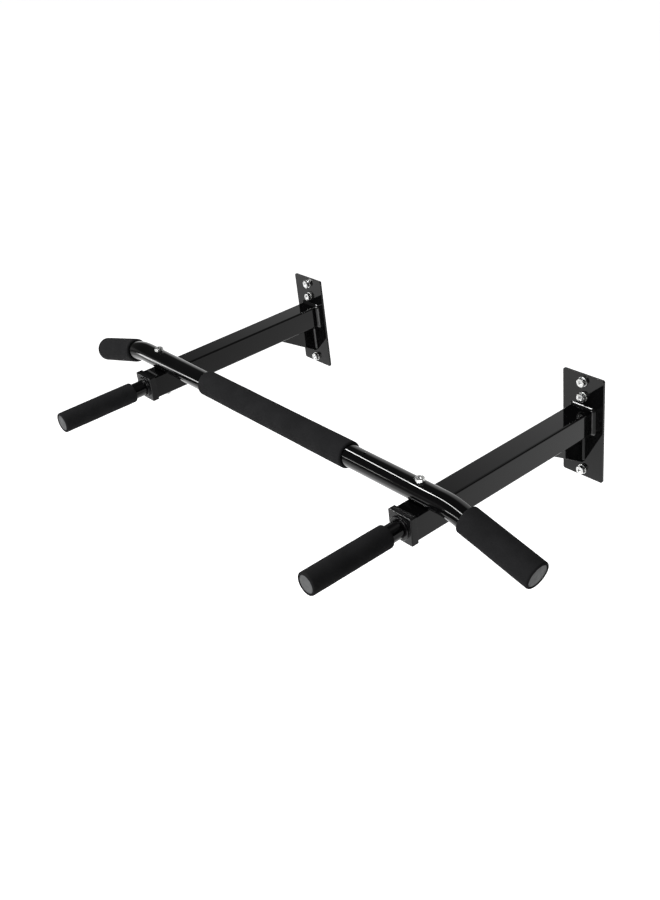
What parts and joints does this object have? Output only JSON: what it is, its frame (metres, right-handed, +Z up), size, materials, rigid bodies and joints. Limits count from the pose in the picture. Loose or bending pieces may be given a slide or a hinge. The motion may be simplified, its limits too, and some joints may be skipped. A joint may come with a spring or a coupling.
{
  "type": "wall-mounted pull-up bar",
  "caption": "Wall-mounted pull-up bar: a foam-gripped round bar with drooped ends bolted across two square wall arms that end in forward handles.",
  "frame": {"origin": "on the wall plane, midway between the two wall plates and at their mid-height, which is the centre of the four outermost wall bolts", "axes": "+X along the bar, to the right for a person who faces the wall; +Y into the wall; +Z up"},
  "size_m": [1.0634, 0.554, 0.176],
  "materials": {
    "black_coat": "gloss black powder coat on steel",
    "coated_weld": "gloss black powder coat over a weld bead",
    "grip_foam": "matt black closed-cell foam",
    "cap_plastic": "gloss black moulded nylon",
    "plug_plastic": "mid-grey moulded polyethylene",
    "guide_plastic": "black moulded nylon",
    "zinc_steel": "bright zinc plate"
  },
  "bodies": {
    "root": {"arm_end_cap_left": "cap_plastic", "arm_end_cap_right": "cap_plastic", "arm_tube_left": "black_coat", "arm_tube_right": "black_coat", "arm_washers": "zinc_steel", "arm_weld_left": "coated_weld", "arm_weld_right": "coated_weld", "bar_bolts": "zinc_steel", "bar_end_plug_left": "plug_plastic", "bar_end_plug_right": "plug_plastic", "bar_grip_centre": "grip_foam", "bar_grip_left": "grip_foam", "bar_grip_right": "grip_foam", "gusset_left": "black_coat", "gusset_right": "black_coat", "gusset_welds_left": "coated_weld", "gusset_welds_right": "coated_weld", "handle_end_plug_left": "plug_plastic", "handle_end_plug_right": "plug_plastic", "handle_grip_left": "grip_foam", "handle_grip_right": "grip_foam", "handle_guide_left": "guide_plastic", "handle_guide_right": "guide_plastic", "handle_tube_left": "black_coat", "handle_tube_right": "black_coat", "lock_nuts": "zinc_steel", "pull_up_bar": "black_coat", "wall_bolts": "zinc_steel", "wall_plate_left": "black_coat", "wall_plate_right": "black_coat", "wall_washers": "zinc_steel"}
  },
  "joints": []
}
